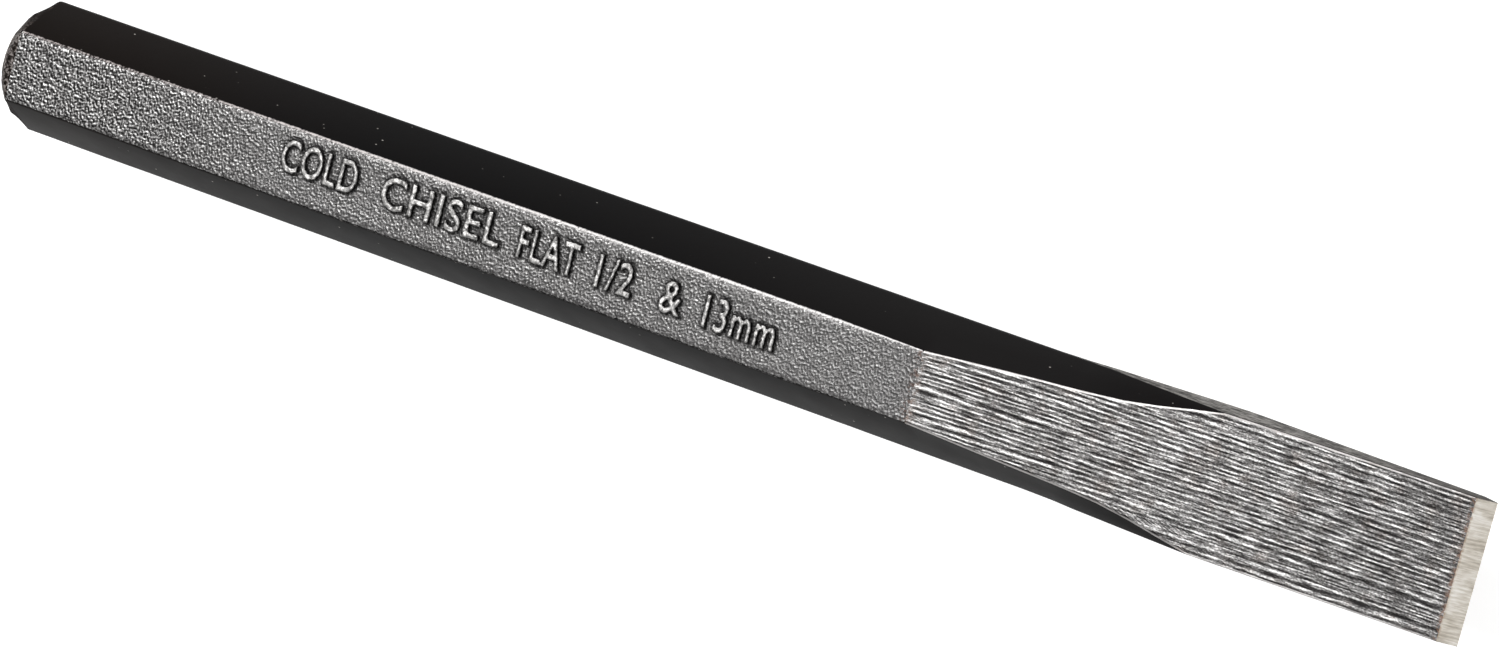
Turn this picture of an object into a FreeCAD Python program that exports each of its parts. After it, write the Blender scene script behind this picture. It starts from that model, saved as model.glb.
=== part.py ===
"""Flat cold chisel, forged in one piece from hexagonal bar.

The chisel is drawn along its own axis, from the struck end at x = 0 to the cutting edge. It is then
laid down on one flat of the bar, so that the origin is under the middle of its length, +X points to
the cutting edge and +Z is square to the flats of the blade.

Sizes are in millimetres. The sheet holds every driving size, and each sketch and feature reads it.
"""

import FreeCAD
import Part
import math
import os
import Sketcher

SHEET = "dimensions"
X_AXIS = -1
Y_AXIS = -2
START = 1
END = 2

# Name, value and meaning of each driving size.
SIZES = (
    ("overall_length", 152.4, "struck face to cutting edge"),
    ("across_flats", 11.1125, "hexagonal bar, 7/16 inch"),
    ("bar_half_width", 6.277, "axis to the blunted side corner of the bar"),
    ("edge_rounding", 0.9, "rounding along the four upper and lower corners of the bar"),
    ("struck_radius", 4.75, "flat that the hammer meets"),
    ("struck_slope", 45.0, "cone round the struck face, in degrees from the axis"),
    ("cone_reach", 7.0, "radius at which the cone's cut is clear of the bar"),
    ("neck_station", 110.0, "where the bar starts to spread into the blade"),
    ("blade_half_width", 6.35, "half of the 1/2 inch blade"),
    ("shoulder_station", 115.5, "second section of the spread"),
    ("shoulder_side", 0.66, "half height of the blade's side there"),
    ("shoulder_crown_width", 3.72, "half width of the forging's top there"),
    ("shoulder_crown", 4.5, "half thickness of the forging there"),
    ("cheek_station", 121.5, "third section of the spread"),
    ("cheek_side", 1.58, "half height of the blade's side there"),
    ("cheek_crown_width", 4.47, "half width of the forging's top there"),
    ("cheek_crown", 3.7, "half thickness of the forging there"),
    ("blade_station", 127.5, "where the blade has its full, square-sided section"),
    ("blade_side", 2.5, "half height of the blade's side there"),
    ("blade_crown_width", 5.87, "half width of the forging's top there"),
    ("blade_crown", 3.0, "half thickness of the forging there"),
    ("taper_station", 100.0, "where the ground taper starts"),
    ("taper_radius", 600.0, "slight hollow of the ground taper, seen from the side"),
    ("bevel_length", 1.55, "cutting bevel, along the axis"),
    ("bevel_root", 2.0, "thickness of the blade where the cutting bevel starts"),
    ("edge_land", 0.1, "thickness left at the cutting edge"),
    ("cut_height", 7.0, "height at which the grinding cuts are clear of the bar"),
)


def make_sheet(doc):
    """The spreadsheet of driving sizes, with one row for each size."""
    sheet = doc.addObject("Spreadsheet::Sheet", SHEET)
    for row, (alias, value, meaning) in enumerate(SIZES, start=1):
        sheet.set(f"A{row}", alias)
        sheet.set(f"B{row}", str(value))
        sheet.set(f"C{row}", meaning)
        sheet.setAlias(f"B{row}", alias)
    doc.recompute()
    return sheet


def make_sketch(body, name, plane_role, station=None):
    """A sketch on one of the body's origin planes, moved along the plane's normal to a station."""
    sketch = body.newObject("Sketcher::SketchObject", name)
    plane = next(f for f in body.Origin.OriginFeatures if f.Role == plane_role)
    sketch.AttachmentSupport = [(plane, "")]
    sketch.MapMode = "FlatFace"
    if station:
        sketch.setExpression(".AttachmentOffset.Base.z", f"{SHEET}.{station}")
    return sketch


def place_point(sketch, line, end, name, along, up):
    """Ties one end of a line to the sketch's origin by two expressions, across and up."""
    point = sketch.getPoint(line, end)
    sizes = (("DistanceX", point.x, f"{name}_x", along), ("DistanceY", point.y, f"{name}_y", up))
    for kind, value, label, expression in sizes:
        index = sketch.addConstraint(Sketcher.Constraint(kind, X_AXIS, START, line, end, value))
        sketch.renameConstraint(index, label)
        sketch.setExpression(f"Constraints.{label}", expression)


def join_corners(sketch, order):
    """Joins each line or arc of a closed outline to the next one."""
    for this, following in zip(order, order[1:] + order[:1]):
        sketch.addConstraint(Sketcher.Constraint("Coincident", this, END, following, START))


def add_polygon(sketch, points):
    """A closed outline of straight lines through the points, and the lines' numbers."""
    corners = [FreeCAD.Vector(x, y, 0) for x, y in points]
    ends = zip(corners, corners[1:] + corners[:1])
    lines = [sketch.addGeometry(Part.LineSegment(a, b), False) for a, b in ends]
    join_corners(sketch, lines)
    return lines


def add_section(body, name, station, half_width, side, crown_width, crown):
    """An eight-sided section of the forging, the same above and below and on both sides.

    Its flat top and bottom are 2 * crown_width wide, its upright sides are 2 * side high, and the
    four slanting facets of the bar join them. The last four arguments are expressions.
    """
    sketch = make_sketch(body, name, "YZ_Plane", station)
    values = [sketch.evalExpression(e) for e in (crown_width, crown, half_width, side)]
    c, h, w, s = (float(getattr(v, "Value", v)) for v in values)
    outline = [(c, h), (w, s), (w, -s), (c, -h), (-c, -h), (-w, -s), (-w, s), (-c, h)]
    lines = add_polygon(sketch, outline)
    across = ((0, 7), (3, 4), (1, 6), (2, 5))
    above_below = ((0, 3), (1, 2))
    for pairs, axis in ((across, Y_AXIS), (above_below, X_AXIS)):
        for first, second in pairs:
            corners = (lines[first], START, lines[second], START)
            sketch.addConstraint(Sketcher.Constraint("Symmetric", *corners, axis))
    place_point(sketch, lines[0], START, "crown", crown_width, crown)
    place_point(sketch, lines[1], START, "flank", half_width, side)
    return sketch


def add_bar_section(body, name, station=None):
    """The hexagonal bar's own section, with its two side corners blunted."""
    half_width = f"{SHEET}.bar_half_width"
    side = f"{SHEET}.across_flats - sqrt(3) * {SHEET}.bar_half_width"
    crown_width = f"{SHEET}.across_flats / (2 * sqrt(3))"
    crown = f"{SHEET}.across_flats / 2"
    return add_section(body, name, station, half_width, side, crown_width, crown)


def add_blade_section(body, stem):
    """A section of the spread, whose sizes in the sheet all start with the same word."""
    sizes = (f"{SHEET}.blade_half_width", f"{SHEET}.{stem}_side")
    sizes += (f"{SHEET}.{stem}_crown_width", f"{SHEET}.{stem}_crown")
    return add_section(body, f"{stem}_section", f"{stem}_station", *sizes)


def add_pad(body, name, profile, length):
    """A straight length of the forging, from its section towards the cutting edge."""
    pad = body.newObject("PartDesign::Pad", name)
    pad.Profile = profile
    pad.setExpression("Length", length)
    return pad


def round_bar_edges(body, shank, sheet):
    """Rounds the four corners along the top and bottom flats of the bar."""
    height = sheet.across_flats / 2
    names = []
    for number, edge in enumerate(shank.Shape.Edges, start=1):
        box = edge.BoundBox
        runs_along = box.XLength > sheet.neck_station / 2
        on_flat = abs(abs(box.ZMin) - height) < 1e-3
        if runs_along and on_flat:
            names.append(f"Edge{number}")
    assert len(names) == 4, names
    rounding = body.newObject("PartDesign::Fillet", "bar_edge_rounding")
    rounding.Base = (shank, names)
    rounding.setExpression("Radius", f"{SHEET}.edge_rounding")
    return rounding


def cut_struck_cone(body, sheet):
    """The cone ground round the struck face, which keeps the head from chipping."""
    sketch = make_sketch(body, "struck_cone_profile", "XZ_Plane")
    depth = (sheet.cone_reach - sheet.struck_radius) / math.tan(math.radians(sheet.struck_slope))
    low, high = sheet.struck_radius, sheet.cone_reach
    lines = add_polygon(sketch, [(0, low), (depth, high), (0, high)])
    reach = f"({SHEET}.cone_reach - {SHEET}.struck_radius) / tan({SHEET}.struck_slope * 1 deg)"
    place_point(sketch, lines[0], START, "rim", "0", f"{SHEET}.struck_radius")
    place_point(sketch, lines[1], START, "far", reach, f"{SHEET}.cone_reach")
    place_point(sketch, lines[2], START, "near", "0", f"{SHEET}.cone_reach")
    groove = body.newObject("PartDesign::Groove", "struck_cone")
    groove.Profile = sketch
    groove.ReferenceAxis = (sketch, ["H_Axis"])
    groove.Angle = 360
    return groove


def add_cut(body, name, sketch):
    """Cuts a side-view outline right through the blade, both ways from the middle."""
    pocket = body.newObject("PartDesign::Pocket", name)
    pocket.Profile = sketch
    pocket.Type = "ThroughAll"
    pocket.Midplane = True
    return pocket


def grind_taper(body, sheet):
    """The long hollow taper ground on the upper flat, from the bar down to the cutting bevel."""
    sketch = make_sketch(body, "taper_profile", "XZ_Plane")
    bevel_start = sheet.overall_length - sheet.bevel_length
    first = FreeCAD.Vector(sheet.taper_station, sheet.across_flats / 2, 0)
    last = FreeCAD.Vector(bevel_start, sheet.bevel_root / 2, 0)
    radius = sheet.taper_radius
    chord = last - first
    rise = math.sqrt(radius**2 - (chord.Length / 2) ** 2)
    centre = (first + last) / 2 + FreeCAD.Vector(-chord.y, chord.x, 0).normalize() * rise
    circle = Part.Circle(centre, FreeCAD.Vector(0, 0, 1), radius)
    angles = [math.atan2(p.y - centre.y, p.x - centre.x) for p in (first, last)]
    arc = sketch.addGeometry(Part.ArcOfCircle(circle, *angles), False)
    above_last = FreeCAD.Vector(last.x, sheet.cut_height, 0)
    above_first = FreeCAD.Vector(first.x, sheet.cut_height, 0)
    corners = (last, above_last, above_first, first)
    lines = [sketch.addGeometry(Part.LineSegment(a, b), False) for a, b in zip(corners, corners[1:])]
    join_corners(sketch, [arc] + lines)
    bevel_x = f"{SHEET}.overall_length - {SHEET}.bevel_length"
    place_point(sketch, lines[0], START, "bevel", bevel_x, f"{SHEET}.bevel_root / 2")
    place_point(sketch, lines[1], START, "above_bevel", bevel_x, f"{SHEET}.cut_height")
    place_point(sketch, lines[2], START, "above_bar", f"{SHEET}.taper_station", f"{SHEET}.cut_height")
    place_point(sketch, arc, START, "bar", f"{SHEET}.taper_station", f"{SHEET}.across_flats / 2")
    index = sketch.addConstraint(Sketcher.Constraint("Radius", arc, radius))
    sketch.renameConstraint(index, "hollow")
    sketch.setExpression("Constraints.hollow", f"{SHEET}.taper_radius")
    return add_cut(body, "ground_taper", sketch)


def grind_bevel(body, sheet):
    """The short, steep cutting bevel at the end of the blade."""
    sketch = make_sketch(body, "bevel_profile", "XZ_Plane")
    start = sheet.overall_length - sheet.bevel_length
    end = sheet.overall_length
    heights = (sheet.bevel_root / 2, sheet.edge_land / 2, sheet.cut_height)
    points = [(start, heights[0]), (end, heights[1]), (end, heights[2]), (start, heights[2])]
    lines = add_polygon(sketch, points)
    start_x = f"{SHEET}.overall_length - {SHEET}.bevel_length"
    end_x = f"{SHEET}.overall_length"
    place_point(sketch, lines[0], START, "root", start_x, f"{SHEET}.bevel_root / 2")
    place_point(sketch, lines[1], START, "edge", end_x, f"{SHEET}.edge_land / 2")
    place_point(sketch, lines[2], START, "above_edge", end_x, f"{SHEET}.cut_height")
    place_point(sketch, lines[3], START, "above_root", start_x, f"{SHEET}.cut_height")
    return add_cut(body, "cutting_bevel", sketch)


def mirror_cuts(body, cuts):
    """Repeats the taper and the cutting bevel on the lower side of the blade."""
    plane = next(f for f in body.Origin.OriginFeatures if f.Role == "XY_Plane")
    mirrored = body.newObject("PartDesign::Mirrored", "lower_grinding")
    mirrored.Originals = cuts
    mirrored.MirrorPlane = (plane, [""])
    body.Tip = mirrored
    return mirrored


def make_chisel(doc, sheet):
    """The whole chisel: bar, spread blade, then the ground head, taper and cutting bevel."""
    body = doc.addObject("PartDesign::Body", "chisel")
    body.Label = "chisel"

    bar_section = add_bar_section(body, "bar_section")
    shank = add_pad(body, "shank", bar_section, f"{SHEET}.neck_station")
    doc.recompute()
    round_bar_edges(body, shank, sheet)

    neck_section = add_bar_section(body, "neck_section", "neck_station")
    later_sections = [add_blade_section(body, stem) for stem in ("shoulder", "cheek", "blade")]
    doc.recompute()
    spread = body.newObject("PartDesign::AdditiveLoft", "forged_spread")
    spread.Profile = neck_section
    spread.Sections = later_sections
    spread.Ruled = False
    doc.recompute()

    blade_length = f"{SHEET}.overall_length - {SHEET}.blade_station"
    add_pad(body, "blade", later_sections[-1], blade_length)
    doc.recompute()
    cut_struck_cone(body, sheet)
    doc.recompute()

    cuts = []
    for grind in (grind_taper, grind_bevel):
        before = body.Shape.Volume
        cuts.append(grind(body, sheet))
        doc.recompute()
        assert body.Shape.Volume < before - 1, f"{cuts[-1].Label} removed nothing"
    mirror_cuts(body, cuts)

    body.setExpression(".Placement.Base.x", f"-{SHEET}.overall_length / 2")
    body.setExpression(".Placement.Base.z", f"{SHEET}.across_flats / 2")
    doc.recompute()
    return body


def check_document(doc, bodies):
    """Stops if any object failed to recompute or any sub-part isn't one sound solid."""
    for item in doc.Objects:
        failed = {"Invalid", "Error"} & set(item.State)
        assert not failed, f"{item.Label}: {failed}"
    for body in bodies:
        assert not body.Shape.isNull(), body.Label
        assert body.Shape.isValid(), body.Label
        assert len(body.Shape.Solids) == 1, body.Label


def main():
    doc = FreeCAD.newDocument("cold_chisel")
    sheet = make_sheet(doc)
    bodies = [make_chisel(doc, sheet)]
    check_document(doc, bodies)
    os.makedirs("parts", exist_ok=True)
    for body in bodies:
        box = body.Shape.optimalBoundingBox(True, False)
        size = f"{box.XLength:.2f} x {box.YLength:.2f} x {box.ZLength:.2f} mm"
        print(f"{body.Label}: {size}, {body.Shape.Volume / 1000:.2f} cm3, lowest z {box.ZMin:.3f}")
        body.Shape.exportStep(f"parts/{body.Label}.step")


main()
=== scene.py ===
# %% [markdown]
# # A flat cold chisel
#
# This lesson dresses one plain solid, a cold chisel, until it looks like the forged tool. On the real tool
# everything is one piece of steel: a hexagonal bar, drawn out into a wide thin blade, ground on its broad
# faces and sharpened at the end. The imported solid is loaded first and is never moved, because the tool's
# length, width and thickness are taken from it. Lengths are worked in millimetres from the struck end, and
# turned to metres when a mesh is finished.

# %% Load the fixed frame
import math

import bmesh
import bpy
from mathutils import Matrix, Quaternion, Vector, noise
from mathutils.kdtree import KDTree


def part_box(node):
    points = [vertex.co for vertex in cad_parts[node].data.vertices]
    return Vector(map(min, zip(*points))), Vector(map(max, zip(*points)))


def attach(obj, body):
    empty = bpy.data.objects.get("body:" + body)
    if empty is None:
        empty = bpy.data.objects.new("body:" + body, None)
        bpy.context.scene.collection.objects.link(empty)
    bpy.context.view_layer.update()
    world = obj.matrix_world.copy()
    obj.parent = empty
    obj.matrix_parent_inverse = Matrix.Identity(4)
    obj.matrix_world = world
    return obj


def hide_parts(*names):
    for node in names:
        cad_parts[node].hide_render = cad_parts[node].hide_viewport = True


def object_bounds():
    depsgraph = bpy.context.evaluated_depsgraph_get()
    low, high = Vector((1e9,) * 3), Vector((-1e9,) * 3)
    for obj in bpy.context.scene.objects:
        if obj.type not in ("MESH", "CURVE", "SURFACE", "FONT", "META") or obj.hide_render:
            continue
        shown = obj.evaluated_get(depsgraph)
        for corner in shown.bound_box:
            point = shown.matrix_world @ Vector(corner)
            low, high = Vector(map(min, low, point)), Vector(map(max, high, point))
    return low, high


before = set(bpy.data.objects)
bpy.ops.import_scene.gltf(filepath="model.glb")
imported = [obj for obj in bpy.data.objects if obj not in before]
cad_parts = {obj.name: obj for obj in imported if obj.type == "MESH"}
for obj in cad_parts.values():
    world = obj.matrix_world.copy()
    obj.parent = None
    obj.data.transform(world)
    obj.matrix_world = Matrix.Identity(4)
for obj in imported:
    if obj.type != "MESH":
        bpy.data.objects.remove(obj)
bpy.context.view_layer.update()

# %% [markdown]
# ## The sizes
#
# The solid's own box gives the length, the distance across the flats and the width of the blade. The other
# numbers are where the finish changes: the ground faces start 52.4 mm from the edge, and the cutting bevel
# takes the last 1.55 mm. Naming them once keeps the mesh, the lettering and the finishes in step.

# %% Take the sizes from the solid
MM = 0.001
low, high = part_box("chisel")
LENGTH = (high.x - low.x) / MM
HALF_FLATS = (high.z - low.z) / 2 / MM
HALF_BLADE = (high.y - low.y) / 2 / MM
STRUCK_X = low.x / MM
HEX_CORNER = HALF_FLATS / math.cos(math.radians(30))
AXIS_HEIGHT = (high.z + low.z) / 2 / MM
GROUND_START = LENGTH - 52.4
HEX_END = LENGTH - 42.4
BEVEL_START = LENGTH - 1.55
GROUND_SLOPE = 0.132
GROUND_RADIUS = 600
BEVEL_ROOT = 1.0
EDGE_LAND = 0.05
STRUCK_RADIUS = 4.75
CONE_LENGTH = 1.65
print(f"bar {LENGTH:.2f} long, {2 * HALF_FLATS:.2f} across flats, blade {2 * HALF_BLADE:.2f} wide")

# %% [markdown]
# ## The shape of the blade
#
# A chisel blade is made by squeezing the hot bar between dies. It gets thinner, so the steel goes sideways:
# the broad faces widen, the four slanting faces shrink to nothing, and the two sharp sides of the hexagon
# become flat strips. A cross-section has eight corners all the way: a crown corner where a broad face ends,
# and a side corner where the slanting face ends, four times over. Three functions give those corners at any
# distance from the struck end, and the table says how they spread where the bar turns into the blade.

# %% Half thickness and corners at a distance along the bar
SPREAD = (  # along, side corner y and z, crown corner y
    (113.0, 6.30, 0.28, 4.10),
    (115.5, 6.35, 0.66, 4.26),
    (118.5, 6.35, 1.12, 4.52),
    (121.5, 6.35, 1.58, 5.00),
    (124.5, 6.35, 2.03, 5.62),
    (127.4, 6.35, 2.42, 6.27),
)
SIDE_CORNER = (6.277, 0.24)
EDGE_BREAK = 0.08
WORN_END = GROUND_START - 10
FULL_WIDTH = 126


def half_thickness(along):
    """Half the thickness of the bar or blade."""
    if along <= GROUND_START:
        return HALF_FLATS
    if along >= BEVEL_START:
        part = (along - BEVEL_START) / (LENGTH - BEVEL_START)
        return BEVEL_ROOT + (EDGE_LAND - BEVEL_ROOT) * min(part, 1)
    run = along - GROUND_START
    return HALF_FLATS - GROUND_SLOPE * run + run * run / (2 * GROUND_RADIUS)


def crown_rounding(along):
    """How far a crown corner is rounded: rubbed round on the bar, sharper where it has been ground."""
    if along <= WORN_END:
        return 0.50
    if along <= GROUND_START:
        return 0.20
    return 0.16 if along < FULL_WIDTH else 0.04


def corners(along):
    """Side corner, crown corner and how far each is rounded, for one quarter of the section."""
    thick = half_thickness(along)
    if along <= HEX_END:
        crown = (HEX_CORNER - thick * math.tan(math.radians(30)), thick)
        return SIDE_CORNER, crown, 0.2, crown_rounding(along)
    for row in SPREAD:
        if abs(along - row[0]) < 0.01:
            return (row[1], row[2]), (row[3], thick), 0.07, crown_rounding(along)
    cut = min(EDGE_BREAK, thick * 0.5)
    return (HALF_BLADE, thick - cut), (HALF_BLADE - cut, thick), cut * 0.3, cut * 0.3


STATIONS = [0.0, CONE_LENGTH, WORN_END, GROUND_START, GROUND_START + 0.6, GROUND_START + 1.2]
STATIONS += [102.5, 105.0, 107.5, HEX_END]
STATIONS += [row[0] for row in SPREAD]
STATIONS += [129.0, 132.0, 136.0, 140.0, 144.0, 148.0, BEVEL_START, LENGTH]
print(f"{len(STATIONS)} stations, blade {2 * half_thickness(BEVEL_START):.2f} thick at the cutting bevel")

# %% [markdown]
# ## Lofting the forging
#
# A loft joins a row of sections. Each section starts as eight vertices and one face. Bevelling its vertices
# gives it rounded corners, which is how a worn die leaves them. Every section then has as many vertices as
# the next, so bridging them makes clean rows of four-sided faces. A lathe or a single extrusion couldn't make
# this shape, because the section changes all along the blade.

# %% Make the sections and bridge them
CROWN_CORNERS = (1, 2, 5, 6)
SIDE_CORNERS = (0, 3, 4, 7)
CROWN_STEPS = 4
SIDE_STEPS = 2


def add_section(bm, along):
    """One rounded section at a distance along the bar, as a closed loop of edges."""
    side, crown, side_round, crown_round = corners(along)
    quarter = (side, crown)
    outline = [(y, z) for y, z in quarter] + [(-y, z) for y, z in reversed(quarter)]
    outline += [(-y, -z) for y, z in quarter] + [(y, -z) for y, z in reversed(quarter)]
    verts = [bm.verts.new((along, y, z)) for y, z in outline]
    bm.faces.new(verts)
    rounding = ((SIDE_CORNERS, side_round, SIDE_STEPS), (CROWN_CORNERS, crown_round, CROWN_STEPS))
    for chosen, offset, steps in rounding:
        bmesh.ops.bevel(
            bm, geom=[verts[i] for i in chosen], offset=offset, offset_type="OFFSET", segments=steps,
            profile=0.5, affect="VERTICES", material=-1, clamp_overlap=True,
        )


def ring_at(bm, along):
    """The vertices of one section in order round the bar, starting at the side corner above +Y."""
    found = [v for v in bm.verts if abs(v.co.x - along) < 1e-4]
    full = 2 * math.pi
    return sorted(found, key=lambda v: math.atan2(v.co.z, v.co.y) % full)


forging = bmesh.new()
for station in STATIONS:
    add_section(forging, station)
bmesh.ops.delete(forging, geom=forging.faces[:], context="FACES_ONLY")
rings = [ring_at(forging, station) for station in STATIONS]
loops = [[forging.edges.get((a, b)) for a, b in zip(ring, ring[1:] + ring[:1])] for ring in rings]
for first, second in zip(loops, loops[1:]):
    bmesh.ops.bridge_loops(forging, edges=first + second)
bmesh.ops.recalc_face_normals(forging, faces=forging.faces[:])
print(f"sections of {len(rings[0])} vertices, {len(forging.faces)} faces in the loft")

# %% [markdown]
# ## Naming the surfaces
#
# Each face is told which finish it carries while there are still only a few hundred of them. Subdividing
# later copies the finish to the new faces, so the borders stay exactly on the edges of the forging. The sharp
# edges are marked now too, before the rough skin goes on, because a pebbled skin is full of small steep
# slopes.

# %% Give every face its finish and mark the crisp edges
FINISHES = ("forged_skin", "ground_face", "side_strip", "cutting_bevel", "struck_end")
SKIN, GROUND, STRIP, BEVEL, STRUCK = range(len(FINISHES))
for face in forging.faces:
    centre = face.calc_center_median()
    thick = half_thickness(centre.x)
    if centre.x > BEVEL_START and abs(face.normal.x) > 0.3:
        face.material_index = BEVEL
    elif centre.x > GROUND_START and abs(face.normal.z) > 0.6 and abs(centre.z) > thick * 0.93:
        face.material_index = GROUND
    elif centre.x > HEX_END and abs(face.normal.y) > 0.99:
        face.material_index = STRIP
    elif centre.x < CONE_LENGTH:
        face.material_index = STRUCK
    face.smooth = True
for edge in forging.edges:
    if len(edge.link_faces) == 2:
        kinds = {f.material_index for f in edge.link_faces}
        edge.smooth = not (len(kinds) == 2 and (kinds & {BEVEL} or kinds == {SKIN, GROUND}))
print({name: sum(f.material_index == i for f in forging.faces) for i, name in enumerate(FINISHES)})

# %% [markdown]
# ## Making the mesh fine enough to hold the relief
#
# The skin's pebbles and the grinding grooves are under half a millimetre across, so the flat faces need small
# squares. Subdividing one family of edges at a time keeps the squares clean: first the edges that cross the
# broad faces, then the slanting faces and side strips, then the edges along the bar. The slanting faces are
# smooth, so they get wide columns, and the blade gets more columns than the bar for its grooves.

# %% Subdivide across, then along
FLAT_CUTS = 35
BLADE_CUTS = 2
SLANT_CUTS = 1
STRIP_CUTS = 3
ROW = 0.15
BLADE_ROW = 0.6
BEVEL_CUTS = 5
CORNER_STEPS = (SIDE_STEPS, CROWN_STEPS, CROWN_STEPS, SIDE_STEPS) * 2
GAPS = ("slant", "flat", "slant", "strip") * 2


def crossing_edges(bm, wanted, after=-1.0):
    """Edges that cross one kind of surface, in every section further along than a distance."""
    chosen = []
    for station in STATIONS:
        ring = ring_at(bm, station)
        place = 0
        for steps, gap in zip(CORNER_STEPS, GAPS):
            place += steps
            if gap == wanted and station > after:
                chosen.append(bm.edges.get((ring[place], ring[(place + 1) % len(ring)])))
            place += 1
    return chosen


flats = crossing_edges(forging, "flat")
slants = crossing_edges(forging, "slant")
strips = crossing_edges(forging, "strip", HEX_END - 0.1)
for edges, cuts in ((flats, FLAT_CUTS), (slants, SLANT_CUTS), (strips, STRIP_CUTS)):
    bmesh.ops.subdivide_edges(forging, edges=edges, cuts=cuts, use_grid_fill=True)
blade_crossings = [
    e for e in forging.edges
    if abs(e.verts[0].co.x - e.verts[1].co.x) < 1e-4 and e.verts[0].co.x > GROUND_START + 0.1
    and abs(e.verts[0].co.z - e.verts[1].co.z) < 1e-5
]
bmesh.ops.subdivide_edges(forging, edges=blade_crossings, cuts=BLADE_CUTS, use_grid_fill=True)
for start, end in zip(STATIONS, STATIONS[1:]):
    pitch = ROW if end <= GROUND_START else BLADE_ROW
    cuts = BEVEL_CUTS if start >= BEVEL_START else round((end - start) / pitch) - 1
    if cuts > 0:
        reach = {round(start, 3), round(end, 3)}
        run = [e for e in forging.edges if {round(v.co.x, 3) for v in e.verts} == reach]
        bmesh.ops.subdivide_edges(forging, edges=run, cuts=cuts, use_grid_fill=True)
print(f"{len(forging.verts)} vertices, {len(forging.faces)} faces, {ROW} mm rows on the bar")

# %% [markdown]
# ## The struck end
#
# The end that the hammer hits is turned to a cone, so the flats run out in shallow arches and the corners
# can't burst. Drawing each vertex of the first rows in to the cone makes those arches by itself.

# %% Turn the cone
for vert in forging.verts:
    if vert.co.x < CONE_LENGTH + 0.01:
        radius = math.hypot(vert.co.y, vert.co.z)
        pull = min(1.0, (STRUCK_RADIUS + vert.co.x) / radius)
        vert.co.y *= pull
        vert.co.z *= pull
print(f"cone {CONE_LENGTH} long, down to {2 * STRUCK_RADIUS} across")

# %% [markdown]
# ## Closing the ends
#
# The struck face grows inwards ring by ring from the cone's rim, which gives it enough vertices for its own
# slight unevenness, and one small face closes the middle. The cutting edge is closed by its narrow land. Both
# rims are crisp.

# %% Close both ends
FACE_RINGS = 10
RING_STEP = 0.8


def open_rim(bm, along):
    """The open edges at one end of the bar, marked as crisp."""
    rim = [e for e in bm.edges if e.is_boundary and abs(e.verts[0].co.x - along) < 1e-4]
    for edge in rim:
        edge.smooth = False
    return rim


rim = open_rim(forging, 0.0)
for left in range(FACE_RINGS, 0, -1):
    grown = bmesh.ops.extrude_edge_only(forging, edges=rim)["geom"]
    rim = [e for e in grown if isinstance(e, bmesh.types.BMEdge)]
    inner = list({v for e in rim for v in e.verts})
    shrink = (left - RING_STEP) / left
    bmesh.ops.scale(forging, vec=(1, shrink, shrink), verts=inner)
    rim = [e for e in rim if e.is_boundary]
    for edge in rim:
        edge.smooth = True
bmesh.ops.edgeloop_fill(forging, edges=rim)
for face in forging.faces:
    if face.calc_center_median().x < 1e-4:
        face.material_index = STRUCK
        face.smooth = True
for face in bmesh.ops.edgeloop_fill(forging, edges=open_rim(forging, LENGTH))["faces"]:
    face.material_index = BEVEL
bmesh.ops.recalc_face_normals(forging, faces=forging.faces[:])
print(f"open edges left: {sum(e.is_boundary for e in forging.edges)}")

# %% [markdown]
# ## From mesh to piece
#
# A finished mesh is turned into metres and put in the frame, with its object left at the origin. One helper
# does this for every piece, and names the body it rides on.

# %% A helper that places a piece in the frame
TO_FRAME = Matrix.Translation((low.x, 0, AXIS_HEIGHT * MM)) @ Matrix.Scale(MM, 4)


def make_piece(bm, name):
    """Turns a bmesh in millimetres from the struck end into a piece in the frame."""
    bmesh.ops.transform(bm, matrix=TO_FRAME, verts=bm.verts[:])
    mesh = bpy.data.meshes.new(name)
    bm.to_mesh(mesh)
    bm.free()
    piece = bpy.data.objects.new(name, mesh)
    bpy.context.scene.collection.objects.link(piece)
    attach(piece, "root")
    return piece


print("pieces are placed from", [round(c, 4) for c in TO_FRAME.translation])

# %% [markdown]
# ## Raised lettering
#
# Forging dies often carry the size of the tool cut into them, so the words come out raised on one flat. Here
# they are plain words and sizes only. Each word is set as text with a small extrusion and stretched to its
# own length.

# %% Set the words on the upper flat
WORDS = (  # word, start and end along the bar, middle of the letters across the flat
    ("COLD", 32.5, 40.8, 0.85),
    ("CHISEL", 43.6, 56.6, 0.72),
    ("FLAT", 58.6, 64.9, 0.55),
    ("1/2", 67.0, 70.8, 0.45),
    ("&", 73.8, 76.1, 0.35),
    ("13mm", 78.4, 85.8, 0.25),
)
TYPE_SIZE = 4.2
LETTER_HEIGHT = 3.0
LETTER_RISE = 0.26
LETTER_ROOT = 0.12
LETTER_BEVEL = 0.05


def word_mesh(word):
    """One extruded word as a mesh, in the size that the typeface gives it."""
    text = bpy.data.curves.new("word", "FONT")
    text.body = word
    text.size = TYPE_SIZE
    text.space_character = 1.08
    text.extrude = (LETTER_RISE + LETTER_ROOT) / 2 - LETTER_BEVEL
    text.bevel_depth = LETTER_BEVEL
    text.bevel_resolution = 1
    holder = bpy.data.objects.new("word", text)
    bpy.context.scene.collection.objects.link(holder)
    bpy.context.view_layer.update()
    mesh = bpy.data.meshes.new_from_object(holder.evaluated_get(bpy.context.evaluated_depsgraph_get()))
    bpy.data.objects.remove(holder)
    return mesh


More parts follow.
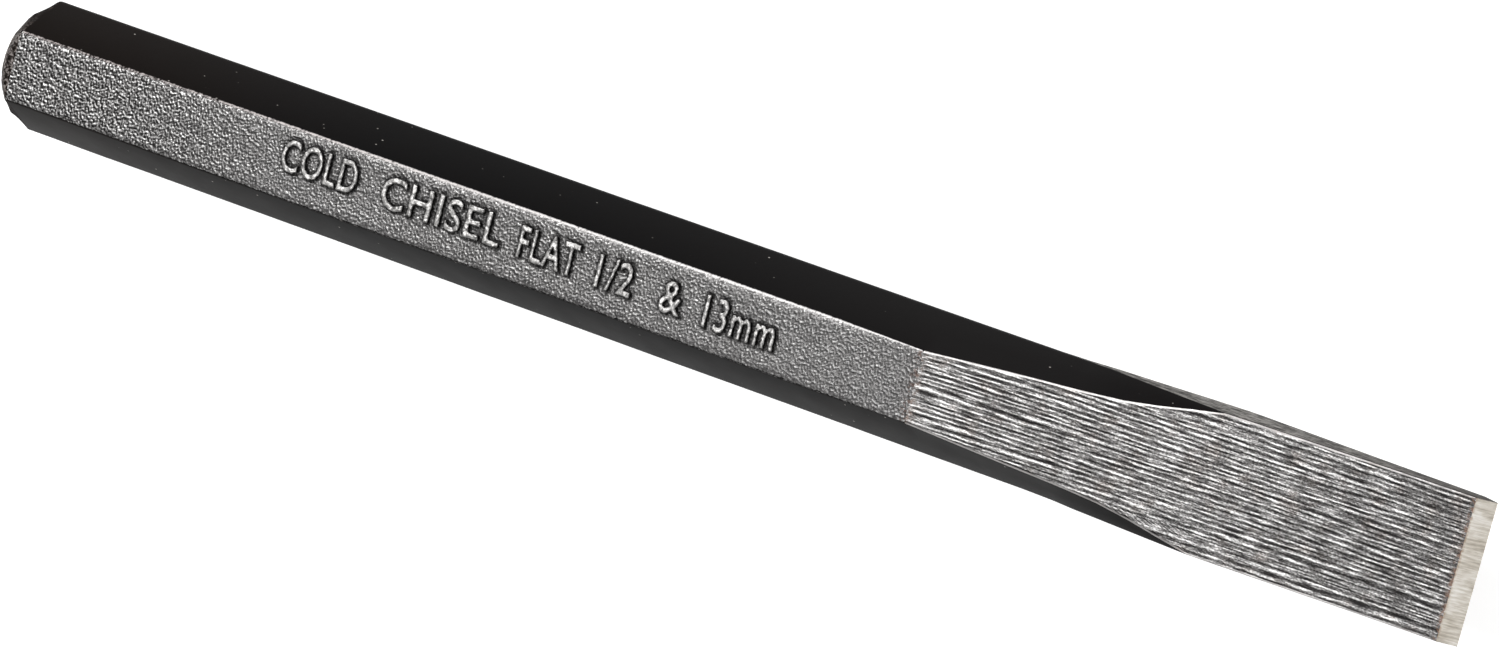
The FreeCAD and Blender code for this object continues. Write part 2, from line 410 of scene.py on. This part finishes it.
lettering = bmesh.new()
for word, start, end, middle in WORDS:
    before = len(lettering.verts)
    lettering.from_mesh(word_mesh(word))
    lettering.verts.ensure_lookup_table()
    fresh = lettering.verts[before:]
    left = min(v.co.x for v in fresh)
    right = max(v.co.x for v in fresh)
    stretch = (end - start) / (right - left)
    for vert in fresh:
        vert.co.x = start + (vert.co.x - left) * stretch
        vert.co.y += middle - LETTER_HEIGHT / 2
        vert.co.z += HALF_FLATS + (LETTER_RISE - LETTER_ROOT) / 2
print(f"{len(WORDS)} words, {len(lettering.verts)} vertices before remeshing")

# %% [markdown]
# ## Softening the letters
#
# Crisp extruded text never looks forged. Remeshing it into tiny even cells fuses the strokes, so that they
# can be smoothed and pitted. Each vertex keeps its height over the flat as an attribute, for the letters'
# finish, and a search tree of all of them will say how far any place on the flat is from a letter.

# %% Fuse and soften the letters
LETTER_CELL = 0.075
LETTER_PITS = 0.07
holder_mesh = bpy.data.meshes.new("letters")
lettering.to_mesh(holder_mesh)
lettering.free()
holder = bpy.data.objects.new("letters", holder_mesh)
bpy.context.scene.collection.objects.link(holder)
remesh = holder.modifiers.new("even_cells", "REMESH")
remesh.mode = "VOXEL"
remesh.voxel_size = LETTER_CELL
bpy.context.view_layer.update()
fused = bpy.data.meshes.new_from_object(holder.evaluated_get(bpy.context.evaluated_depsgraph_get()))
bpy.data.objects.remove(holder)
letters = bmesh.new()
letters.from_mesh(fused)
for turn in range(2):
    bmesh.ops.smooth_vert(
        letters, verts=letters.verts[:], factor=0.5, use_axis_x=True, use_axis_y=True, use_axis_z=True
    )
letters.normal_update()
letter_height = letters.verts.layers.float.new("height")
letter_moves = []
for vert in letters.verts:
    rough = noise.noise(vert.co * 2.3) + 0.6 * noise.noise(vert.co * 5.1)
    vert[letter_height] = (vert.co.z - HALF_FLATS) / LETTER_RISE
    letter_moves.append(vert.normal * LETTER_PITS * rough)
for vert, move in zip(letters.verts, letter_moves):
    vert.co += move
for face in letters.faces:
    face.smooth = True
bmesh.ops.recalc_face_normals(letters, faces=letters.faces[:])
letter_tree = KDTree(len(letters.verts))
for index, vert in enumerate(letters.verts):
    letter_tree.insert((vert.co.x, vert.co.y, 0.0), index)
letter_tree.balance()
raised_lettering = make_piece(letters, "raised_lettering")
print(f"raised_lettering: {sum(len(p.vertices) - 2 for p in raised_lettering.data.polygons)} triangles")

# %% [markdown]
# ## Relief: pebbles, grooves and hollows
#
# Scale pressed into hot steel leaves a skin like orange peel. It is coarse by the struck end and finer
# towards the blade. The blade's faces were ground lengthways afterwards, which leaves long shallow grooves.
# The slanting faces came smooth from the rolling mill and only wave a little. Where a letter rises, the skin
# sinks round its foot. One function gives each of these its height.

# %% Four kinds of relief
PEBBLE_DEPTH = 0.014
GROOVE_DEPTH = 0.020
GROOVE_PITCH = 0.42
WAVE_DEPTH = 0.012
FOOT_DEPTH = 0.05


def smooth_step(value, start, end):
    """0 before start, 1 after end and an easy curve between."""
    part = min(max((value - start) / (end - start), 0.0), 1.0)
    return part * part * (3 - 2 * part)


def pebbles(spot):
    """Height of the orange peel, about -1 to 1."""
    finer = 1 + 0.15 * smooth_step(spot.x, 20, 60)
    fine = noise.noise(Vector((spot.x * 3.9, spot.y * 4.4, spot.z + 7)) * finer)
    broad = noise.noise(Vector((spot.x * 0.8, spot.y * 0.9, spot.z + 31)))
    return 1.9 * fine + 0.3 * broad


def grooves(spot):
    """Height of the lengthways grinding marks, about -1 to 1."""
    side = 40.0 if spot.z > 0 else -40.0
    drift = 0.9 * noise.noise(Vector((spot.x * 0.05, spot.y * 0.9, side)))
    drift += 0.13 * noise.noise(Vector((spot.x * 0.33, spot.y * 2.3, side + 5)))
    swell = 0.80 + 1.0 * noise.noise(Vector((spot.x * 0.50, spot.y * 2.3, side + 11)))
    fine = noise.noise(Vector((spot.x * 0.48, spot.y * 4.8, side + 20)))
    return swell * math.sin(2 * math.pi * (spot.y / GROOVE_PITCH + drift)) + 0.7 * fine


def waves(spot):
    """Long gentle unevenness of the rolled and forged surfaces."""
    long_wave = noise.noise(Vector((spot.x * 0.11, spot.y * 0.25, spot.z * 0.25)))
    return long_wave + 0.4 * noise.noise(spot * 0.55)


def foot_of_letters(spot):
    """1 beside a raised letter on the upper flat, falling to 0 about half a millimetre away."""
    if spot.z < HALF_FLATS * 0.9 or not WORDS[0][1] - 1 < spot.x < WORDS[-1][2] + 1:
        return 0.0
    distance = letter_tree.find((spot.x, spot.y, 0.0))[2]
    return 1 - smooth_step(distance, 0.10, 0.46)


print(f"pebbles {PEBBLE_DEPTH} mm high, grooves {GROOVE_DEPTH} mm deep and {GROOVE_PITCH} mm apart")

# %% [markdown]
# ## Which place carries what
#
# A vertex knows the finishes of the faces round it and which way it faces, and that is enough to say whether
# it carries pebbles and whether it is worn. Two kinds of edge get a bright line, partly wear and partly
# painted highlight: the long edges of the bar, far more on the +Y side, towards the edge strip lamp, than on
# the other, and the rims of the ground faces. A ground face has no fixed width, so its rim is looked up row
# by row.

# %% Find the pebbled places and the worn edges
rim_at = {}
for face in forging.faces:
    if face.material_index == GROUND:
        for vert in face.verts:
            row = round(vert.co.x, 2)
            rim_at[row] = max(rim_at.get(row, 0.0), abs(vert.co.y))


def pebbled_at(spot, steep, kinds):
    """How much of the orange peel a place carries, 0 to 1."""
    if spot.x < CONE_LENGTH:
        return smooth_step(abs(spot.z) / math.hypot(spot.y, spot.z, 0.01), 0.78, 0.90)
    on_bar = (kinds <= {SKIN, STRUCK} and spot.x < HEX_END) or spot.x < GROUND_START + 0.01
    return smooth_step(steep, 0.68, 0.96) if on_bar else 0.0


def wear_and_highlight_at(spot, steep, kinds):
    """How far a place is rubbed bright or painted with a highlight line, 0 to 1."""
    if GROUND in kinds and BEVEL not in kinds:
        rim = rim_at.get(round(spot.x, 2), HALF_BLADE)
        rubbed = smooth_step(abs(spot.y), rim - 0.26, rim - 0.08)
        return rubbed * (1 - 0.3 * smooth_step(spot.x, 134, 150))
    rubbed = smooth_step(steep, 0.60, 0.70) * (1 - smooth_step(steep, 0.80, 0.90))
    return rubbed * (0.9 if spot.y > 0 else 0.28)


print(f"{len(rim_at)} rows on the ground faces")

# %% [markdown]
# ## Pushing the relief into the mesh
#
# Each vertex is pushed out or in along its own normal by a few hundredths of a millimetre. Its height and
# what it carries are stored as attributes too, so that the finishes can lighten the crests and darken the
# hollows in the right places. One attribute marks the foot of a letter, where the skin sinks, and the long
# edges of a side strip; the finishes paint both black as painted shade. Another marks the rubbed edges,
# which carry a bright line that is partly wear and partly painted highlight. All moves are worked out
# before the first is made, so every place is read unmoved.

# %% Push the relief into the mesh
marks = {name: forging.verts.layers.float.new(name) for name in ("pebbled", "height", "wear_and_highlight", "foot_and_shade")}
forging.normal_update()
moves = []
for vert in forging.verts:
    spot = vert.co
    steep = abs(vert.normal.z)
    kinds = {f.material_index for f in vert.link_faces}
    pebbled = pebbled_at(spot, steep, kinds)
    foot_and_shade = foot_of_letters(spot)
    height = 0.0
    move = 0.0
    if GROUND in kinds and BEVEL not in kinds:
        height = grooves(spot) * smooth_step(spot.x, GROUND_START, GROUND_START + 0.5)
        move = GROOVE_DEPTH * height if steep >= 0.93 and len(kinds) == 1 else 0.0
    elif BEVEL not in kinds:
        height = pebbles(spot) * pebbled
        fade = 1 - 0.45 * smooth_step(spot.x, 15, 75)
        move = PEBBLE_DEPTH * fade * height + WAVE_DEPTH * waves(spot) - FOOT_DEPTH * foot_and_shade
    # On a side strip the attribute marks the long edges, which the finish paints dark as shade.
    if STRIP in kinds:
        foot_and_shade = smooth_step(abs(spot.z) / half_thickness(spot.x), 0.80, 0.96)
    # The bright edge line is partly wear and partly painted highlight.
    wear_and_highlight = wear_and_highlight_at(spot, steep, kinds)
    for name, value in (("pebbled", pebbled), ("height", height), ("wear_and_highlight", wear_and_highlight), ("foot_and_shade", foot_and_shade)):
        vert[marks[name]] = value
    moves.append(vert.normal * move)
for vert, move in zip(forging.verts, moves):
    vert.co += move
print(f"relief moved vertices by up to {max(m.length for m in moves):.3f} mm")

# %% [markdown]
# ## The forging goes in the frame
#
# The forging stands for the solid, so the solid is hidden and stays behind it for the physics.

# %% Place the forging
chisel_forging = make_piece(forging, "chisel_forging")
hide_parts("chisel")
triangles = sum(len(p.vertices) - 2 for p in chisel_forging.data.polygons)
print(f"chisel_forging: {triangles} triangles")

# %% [markdown]
# ## A small language for finishes
#
# Finishes are made of nodes, and sums in a node tree are hard to read when each one takes four lines. This
# class wraps one output socket, so that `mask * 0.5 + 0.2` adds the Math nodes itself. One method adds every
# other kind of node: its settings first, then the values or links of its sockets.

# %% Wrap a socket so that sums read as sums
class Wire:
    """One output of a finish's node tree. Sums on it add Math nodes."""

    def __init__(self, tree, socket=None):
        self.tree = tree
        self.socket = socket

    def add(self, kind, settings=None, sockets=None, output=0):
        """Adds a node, sets it up, fills its sockets and gives the wanted output."""
        node = self.tree.nodes.new(kind)
        for name, value in (settings or {}).items():
            if name == "stops":
                node.color_ramp.elements.remove(node.color_ramp.elements[1])
                for index, (place, shade) in enumerate(value):
                    stops = node.color_ramp.elements
                    stop = stops[0] if index == 0 else stops.new(place)
                    stop.position = place
                    stop.color = (*shade, 1) if isinstance(shade, tuple) else (shade, shade, shade, 1)
            else:
                setattr(node, name, value)
        for name, value in (sockets or {}).items():
            if isinstance(value, Wire):
                self.tree.links.new(value.socket, node.inputs[name])
            else:
                node.inputs[name].default_value = value
        return Wire(self.tree, node.outputs[output] if node.outputs else None)

    def math(self, operation, *values):
        return self.add("ShaderNodeMath", {"operation": operation}, dict(enumerate(values)))

    def __add__(self, other):
        return self.math("ADD", self, other)

    def __mul__(self, other):
        return self.math("MULTIPLY", self, other)

    def __sub__(self, other):
        return self.math("SUBTRACT", self, other)

    def __rsub__(self, other):
        return self.math("SUBTRACT", other, self)

    __radd__ = __add__
    __rmul__ = __mul__

    def rise(self, start, end):
        """0 below start, 1 above end and smooth between."""
        ends = {0: self, 1: start, 2: end, 3: 0.0, 4: 1.0}
        return self.add("ShaderNodeMapRange", {"interpolation_type": "SMOOTHSTEP"}, ends)

    def dip(self, start, end):
        """1 below start and 0 above end."""
        return 1 - self.rise(start, end)

    def ramp(self, *stops):
        return self.add("ShaderNodeValToRGB", {"stops": stops}, {0: self})

    def part(self, axis):
        return self.add("ShaderNodeSeparateXYZ", None, {0: self}, output="XYZ".index(axis))

    def stretched(self, x, y, z):
        return self.add("ShaderNodeVectorMath", {"operation": "MULTIPLY"}, {0: self, 1: (x, y, z)})

    def moved(self, other):
        return self.add("ShaderNodeVectorMath", {"operation": "ADD"}, {0: self, 1: other})

    def noise(self, scale, detail=2.0, roughness=0.5):
        sockets = {"Vector": self, "Scale": scale, "Detail": detail, "Roughness": roughness}
        return self.add("ShaderNodeTexNoise", None, sockets)

    def cells(self, scale, feature="F1"):
        return self.add("ShaderNodeTexVoronoi", {"feature": feature}, {"Vector": self, "Scale": scale})

    def mix(self, first, second, blend="MIX"):
        """Colour mix with this wire as the factor: 0 gives the first colour, 1 the second."""
        first, second = [(*c, 1) if isinstance(c, tuple) else c for c in (first, second)]
        settings = {"data_type": "RGBA", "blend_type": blend}
        return self.add("ShaderNodeMix", settings, {0: self, 6: first, 7: second}, output=2)

    def attribute(self, name):
        return self.add("ShaderNodeAttribute", {"attribute_name": name}, None, output=2)

    def bump(self, strength, depth, below=None):
        sockets = {"Strength": strength, "Distance": depth, "Height": self}
        if below is not None:
            sockets["Normal"] = below
        return self.add("ShaderNodeBump", None, sockets)


def new_finish(name):
    """A material with an empty tree: the tree's starter wire and the place in millimetres on the object."""
    material = bpy.data.materials.new(name)
    material.use_nodes = True
    material.node_tree.nodes.clear()
    start = Wire(material.node_tree)
    place = start.add("ShaderNodeTexCoord", output=3).stretched(1 / MM, 1 / MM, 1 / MM)
    return material, start, place


def finish_with(start, **sockets):
    """Ends a finish with one Principled shader. Underscores in names stand for spaces."""
    named = {name.replace("_", " "): value for name, value in sockets.items()}
    shader = start.add("ShaderNodeBsdfPrincipled", None, named)
    start.add("ShaderNodeOutputMaterial", None, {"Surface": shader})


print("the finish kit is ready")

# %% [markdown]
# ## Finish 1: forged skin
#
# The whole bar is blackened. The slanting faces are smooth and nearly black, a little brown by the struck
# end, with specks of dust. The two broad flats are pebbled, and their crests have worn grey, so they are
# lighter and partly metallic. Their colour also carries painted shade and painted highlight: two noises a
# little apart, subtracted, paint each pebble a lit side and a shaded side, and the ramp's brightest stop
# paints glints. The mesh says where the pebbles are, and a fine bump adds the grain between them. The long
# rounded edges carry a bright line that is partly wear and partly painted highlight, and the skin at the
# foot of a letter is painted dark as shade. Just before the ground faces the heat of grinding has left brown
# specks. As in every finish here, `along` is the distance from the struck end in millimetres.

# %% Forged skin
def make_forged_skin():
    material, start, place = new_finish("forged_skin")
    along = place.part("X") - STRUCK_X
    pebbled = start.attribute("pebbled")
    height = start.attribute("height")
    wear_and_highlight = start.attribute("wear_and_highlight")
    foot_and_shade = start.attribute("foot_and_shade")
    ragged = place.noise(3.6, 2.0)
    skin = (pebbled + (ragged - 0.5) * 1.1).rise(0.35, 0.62)
    cell = place.stretched(0.95, 1.1, 1.0).cells(4.2, "SMOOTH_F1")
    # Painted shade and highlight: a noise read twice, a little apart, and subtracted gives each pebble a lit
    # side and a shaded side.
    painted_emboss = place.moved((0.04, 0.09, 0.0)).noise(4.3, 1.0) - place.moved((-0.04, -0.09, 0.0)).noise(4.3, 1.0)
    crest_and_emboss = height * 0.07 + painted_emboss * 1.2 - cell * 0.6 + 0.70
    calm = along.rise(12.2, 36.2) * 0.38 + along.rise(56.2, 96.2) * 0.17
    brown = along.dip(4.2, 46.2) * 0.8 + along.rise(76.2, 106.2) * 0.15
    face = brown.mix((0.0020, 0.0019, 0.0021), (0.0055, 0.0032, 0.0022))
    cloud = place.noise(0.35, 3.0)
    face = (cloud * 0.4).mix(face, (0.0045, 0.0035, 0.0032))
    face = (along.rise(56.2, 104.2) * 0.7).mix(face, (0.0075, 0.0068, 0.0068))
    dust = place.moved((0.0, 0.0, 0.3)).stretched(1.0, 1.4, 1.4).cells(0.7)
    specks = dust.dip(0.03, 0.09) * place.noise(0.6, 1.0).rise(0.52, 0.66)
    face = (specks * 0.9).mix(face, (0.42, 0.40, 0.37))
    # The ramp's brightest stop paints glints on the pebble crests as painted highlight.
    pebble = crest_and_emboss.ramp(
        (0.22, (0.022, 0.021, 0.021)), (0.40, (0.120, 0.116, 0.114)), (0.60, (0.31, 0.303, 0.30)),
        (0.85, (0.95, 0.94, 0.93)),
    )
    pebble = calm.mix(pebble, (0.215, 0.210, 0.208))
    # Painted shade: the skin at the foot of a letter is darkened.
    pebble = (foot_and_shade * 0.9).mix(pebble, (0.012, 0.011, 0.011))
    wear_and_highlight = wear_and_highlight * along.dip(GROUND_START - 0.3, GROUND_START)
    # Painted highlight, partly wear: a bright line along the long rounded edges, far stronger on the +Y side.
    rub_and_highlight = wear_and_highlight * (place.noise(4.3, 1.0) * 2.0 - 0.30 + along.rise(14.2, 51.2) * 0.42)
    bright = along.rise(6.2, 86.2).mix((0.48, 0.435, 0.425), (0.80, 0.78, 0.77))
    singed = along.rise(GROUND_START - 1.1, GROUND_START - 0.1) * 0.75
    singed = singed * place.noise(3.4, 2.0).rise(0.50, 0.60)
    pebble = singed.mix(pebble, (0.120, 0.078, 0.064))
    colour = skin.mix(face, pebble)
    colour = rub_and_highlight.rise(0.2, 0.9).mix(colour, bright)
    bump = (crest_and_emboss * skin * (1 - wear_and_highlight * 0.8)).bump(1.0, 0.00010)
    bump = place.noise(1.6, 3.0).bump(0.2, 0.00002, bump)
    bare = (skin * 0.72 + rub_and_highlight * 0.6).rise(0.0, 1.0) * 0.8
    finish_with(
        start, Base_Color=colour, Metallic=bare, Roughness=skin * -0.04 + (cloud * 0.12 + 0.32),
        Specular_IOR_Level=0.02, Normal=bump,
    )
    return material


# %% [markdown]
# ## Finish 2: ground faces
#
# A belt or a wheel ran along the blade, so its marks are long, thin and nearly parallel, with bright crests
# and black grooves. The grooves in the mesh give the long lines, noise stretched ten to one gives the fine
# grain, and a mottle breaks both, so that they don't look like wood. Brown specks sit at both borders, where
# the heat of grinding tinted the steel.

# %% Ground faces
def make_ground_face():
    material, start, place = new_finish("ground_face")
    along = place.part("X") - STRUCK_X
    height = start.attribute("height")
    fine = place.stretched(0.7, 7.0, 0.5).noise(1.0, 2.0, 0.5)
    mottle = place.stretched(1.0, 1.9, 1.0).noise(4.6, 2.0, 0.6)
    wear_and_highlight = start.attribute("wear_and_highlight")
    marks = height * 0.22 + fine * 0.80 + mottle * 0.74 - 0.290
    marks = marks + along.dip(101.2, 109.2) * 0.05 - along.rise(126.2, 151.2) * 0.05
    colour = marks.ramp(
        (0.18, (0.010, 0.009, 0.009)), (0.36, (0.052, 0.050, 0.049)), (0.54, (0.185, 0.180, 0.177)),
        (0.78, (0.74, 0.73, 0.72)),
    )
    # Painted highlight, partly wear: a bright line along both rims of the ground face.
    rim = wear_and_highlight * (place.stretched(0.4, 1.0, 1.0).noise(1.8, 2.0) * 0.8 + 0.5)
    colour = rim.rise(0.25, 0.9).mix(colour, (0.52, 0.50, 0.49))
    warm = place.noise(0.55, 2.0).rise(0.5, 0.75) * 0.35
    colour = warm.mix(colour, (0.36, 0.27, 0.22), "SOFT_LIGHT")
    patchy = place.noise(3.0, 3.0).rise(0.45, 0.62)
    border = along.dip(GROUND_START, GROUND_START + 0.7) * 0.45
    border = (border + along.rise(BEVEL_START - 0.55, BEVEL_START) * 0.8) * patchy
    colour = border.mix(colour, (0.17, 0.10, 0.07))
    bump = (fine + mottle * 0.5).bump(0.7, 0.00004)
    finish_with(
        start, Base_Color=colour, Metallic=0.65, Roughness=marks * -0.12 + 0.42, Specular_IOR_Level=0.25,
        Normal=bump,
    )
    return material


# %% [markdown]
# ## Finish 3: side strips
#
# The two long sides of the blade were squeezed flat by the dies and never ground. They are a dull mottled
# grey with scuffs along them, darker towards the cutting edge, with a painted shade line along either side.

# %% Side strips
def make_side_strip():
    material, start, place = new_finish("side_strip")
    along = place.part("X") - STRUCK_X
    scuffs = place.stretched(0.35, 1.0, 3.2).noise(1.0, 3.0, 0.6)
    mottle = place.noise(1.5, 3.0, 0.6)
    shade = scuffs * 0.9 + mottle * 0.9 - 0.40
    colour = shade.ramp(
        (0.34, (0.024, 0.022, 0.021)), (0.5, (0.11, 0.105, 0.098)), (0.68, (0.23, 0.22, 0.207))
    )
    colour = (along.rise(131.2, 152.2) * 0.75).mix(colour, (0.045, 0.041, 0.038))
    # Painted shade: a dark line along both long edges of the strip.
    colour = (start.attribute("foot_and_shade").rise(0.55, 0.95) * 0.9).mix(colour, (0.012, 0.008, 0.006))
    bump = shade.bump(0.6, 0.00005)
    finish_with(start, Base_Color=colour, Metallic=0.0, Roughness=0.6, Specular_IOR_Level=0.03, Normal=bump)
    return material


# %% [markdown]
# ## Finish 4: cutting bevel
#
# Sharpening is the last job, so this is the only bare steel. It is bright and slightly warm, with fine lines
# across the bevel in the direction the wheel turned, and a thin straw-brown line where the heat tinted its
# root.

# %% Cutting bevel
def make_cutting_bevel():
    material, start, place = new_finish("cutting_bevel")
    along = place.part("X") - STRUCK_X
    lines = place.stretched(0.25, 5.5, 1.0).noise(1.0, 4.0, 0.65)
    bands = place.stretched(0.1, 0.8, 1.0).noise(1.0, 2.0)
    shade = lines * 0.9 + bands * 0.8 - 0.35
    colour = shade.ramp((0.30, (0.46, 0.41, 0.34)), (0.52, (0.72, 0.67, 0.59)), (0.75, (0.95, 0.92, 0.87)))
    wander = place.noise(3.2, 3.0) * 0.5
    tint = (along + wander).dip(BEVEL_START + 0.2, BEVEL_START + 0.4)
    colour = (tint * 0.75).mix(colour, (0.38, 0.25, 0.15))
    bump = lines.bump(0.5, 0.00002)
    finish_with(start, Base_Color=colour, Metallic=0.85, Roughness=0.42, Specular_IOR_Level=0.5, Normal=bump)
    return material


# %% [markdown]
# ## Finish 5: struck end
#
# The cone and the face are turned, then blackened thinly, so brown steel shows through the black in rings.
# Where the pebbled flats run out over the cone, their pebbles show grey, and the rim of the face is rubbed.

# %% Struck end
def make_struck_end():
    material, start, place = new_finish("struck_end")
    centred = place.moved((0.0, 0.0, -AXIS_HEIGHT))
    squared = centred.stretched(0.0, 1.0, 1.0)
    radius = start.add("ShaderNodeVectorMath", {"operation": "LENGTH"}, {0: squared}, output=1)
    sockets = {"W": radius * 6.0, "Scale": 1.0, "Detail": 3.0}
    rings_of_turning = start.add("ShaderNodeTexNoise", {"noise_dimensions": "1D"}, sockets)
    grime = place.noise(1.3, 4.0, 0.6)
    shade = rings_of_turning * 0.5 + grime * 0.8 - 0.15
    colour = shade.ramp(
        (0.30, (0.003, 0.002, 0.002)), (0.52, (0.010, 0.007, 0.006)), (0.80, (0.055, 0.044, 0.037))
    )
    pebbled = start.attribute("pebbled")
    stone = place.noise(4.1, 1.0).ramp(
        (0.36, (0.008, 0.006, 0.005)), (0.50, (0.042, 0.035, 0.032)), (0.64, (0.24, 0.215, 0.205))
    )
    colour = (pebbled * radius.rise(STRUCK_RADIUS + 0.05, STRUCK_RADIUS + 0.25)).mix(colour, stone)
    rim = radius.rise(STRUCK_RADIUS - 0.25, STRUCK_RADIUS - 0.10)
    rim = rim * radius.dip(STRUCK_RADIUS + 0.10, STRUCK_RADIUS + 0.30) * grime.rise(0.30, 0.55)
    rim = rim * (pebbled * 0.6 + 0.15)
    colour = rim.mix(colour, (0.17, 0.13, 0.11))
    bump = shade.bump(0.6, 0.00004)
    bare = pebbled * 0.35 + rim * 0.3
    finish_with(start, Base_Color=colour, Metallic=bare, Roughness=0.62, Specular_IOR_Level=0.03, Normal=bump)
    return material


# %% [markdown]
# ## Finish 6: letters
#
# The letters stand in the same pebbled skin. Their tops are lighter, partly polished by rubbing and partly
# painted highlight, and their feet are painted dark as shade.

# %% Letters
def make_letter_steel():
    material, start, place = new_finish("letter_steel")
    height = start.attribute("height")
    grain = place.noise(3.2, 3.0, 0.6)
    # Painted highlight and shade, partly polish: light on the letters' tops and dark at their feet, by
    # height.
    polish_and_painted_light = (height + (grain - 0.5) * 1.9).rise(0.35, 1.15)
    colour = polish_and_painted_light.mix((0.010, 0.009, 0.009), (0.50, 0.49, 0.48))
    bump = grain.bump(0.6, 0.00004)
    finish_with(start, Base_Color=colour, Metallic=0.7, Roughness=0.36, Specular_IOR_Level=0.2, Normal=bump)
    return material


# %% [markdown]
# ## Dressing the pieces
#
# The forging's finishes go on in the order of FINISHES, which is the order that its faces were numbered in.

# %% Put the finishes on the pieces
makers = (make_forged_skin, make_ground_face, make_side_strip, make_cutting_bevel, make_struck_end)
for maker in makers:
    chisel_forging.data.materials.append(maker())
raised_lettering.data.materials.append(make_letter_steel())
print([m.name for m in chisel_forging.data.materials], raised_lettering.data.materials[0].name)

# %% [markdown]
# ## The floor
#
# The tool lies on a white light table. The table glows, so the shadows stay faint, and the lamps above can be
# small enough to draw the relief.

# %% Light table
floor_bm = bmesh.new()
bmesh.ops.create_grid(floor_bm, x_segments=1, y_segments=1, size=3.0)
floor_mesh = bpy.data.meshes.new("light_table")
floor_bm.to_mesh(floor_mesh)
floor_bm.free()
light_table = bpy.data.objects.new("light_table", floor_mesh)
bpy.context.scene.collection.objects.link(light_table)
light_table.location.z = min(low.z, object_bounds()[0][2])
table_material, table_start, _ = new_finish("light_table")
finish_with(
    table_start, Base_Color=(0.55, 0.55, 0.55, 1), Roughness=0.9, Specular_IOR_Level=0.0,
    Emission_Color=(1.0, 1.0, 1.0, 1), Emission_Strength=0.80,
)
light_table.data.materials.append(table_material)
print("light table at height", light_table.location.z)

# %% [markdown]
# ## Light
#
# One soft box hangs overhead for the broad faces. A strip leans in from the far side of the struck end, to
# run a bright line along the rounded edge. A weak box at the blade's end opens the shadows, and the room
# is grey.

# %% Lamps and surroundings
MIDDLE = Vector(((low.x + high.x) / 2, 0.0, AXIS_HEIGHT * MM))


def add_lamp(name, towards, distance, size, power):
    """A soft box that looks at the middle of the tool from a direction."""
    lamp = bpy.data.lights.new(name, "AREA")
    lamp.shape = "RECTANGLE"
    lamp.size, lamp.size_y = size
    lamp.energy = power
    holder = bpy.data.objects.new(name, lamp)
    away = Vector(towards).normalized()
    holder.location = MIDDLE + away * distance
    holder.rotation_euler = away.to_track_quat("Z", "Y").to_euler()
    bpy.context.scene.collection.objects.link(holder)


add_lamp("overhead_box", (-0.30, -0.05, 0.95), 0.80, (0.24, 0.34), 2.3)
add_lamp("edge_strip", (-0.42, 0.69, 0.59), 0.80, (0.55, 0.12), 5.0)
add_lamp("front_box", (0.60, -0.16, 0.78), 0.80, (0.30, 0.20), 0.6)
world = bpy.data.worlds.new("studio")
bpy.context.scene.world = world
world.use_nodes = True
world.node_tree.nodes["Background"].inputs["Color"].default_value = (1.0, 1.0, 1.0, 1)
world.node_tree.nodes["Background"].inputs["Strength"].default_value = 0.25
bpy.context.scene.view_settings.view_transform = "Standard"
print("three soft boxes and a grey studio")

# %% [markdown]
# ## Camera
#
# A long lens looks down on the tool from beyond its blade, turned so that the tool runs across the view.

# %% Camera
AIM = MIDDLE + Vector((0.0040, -0.0007, 0.0))
DISTANCE = 0.6026
AZIMUTH = math.radians(110.19)
ELEVATION = math.radians(61.41)
ROLL = math.radians(-93.105)
away = Vector((
    math.sin(AZIMUTH) * math.cos(ELEVATION), -math.cos(AZIMUTH) * math.cos(ELEVATION), math.sin(ELEVATION)
))
camera_data = bpy.data.cameras.new("camera")
camera_data.sensor_width = 36.0
camera_data.lens = 163.28
camera_data.clip_start = 0.01
camera = bpy.data.objects.new("camera", camera_data)
camera.location = AIM + away * DISTANCE
turned = away.to_track_quat("Z", "Y") @ Quaternion((0, 0, 1), ROLL)
camera.rotation_euler = turned.to_euler()
bpy.context.scene.collection.objects.link(camera)
bpy.context.scene.camera = camera
print("camera at", [round(c, 4) for c in camera.location])
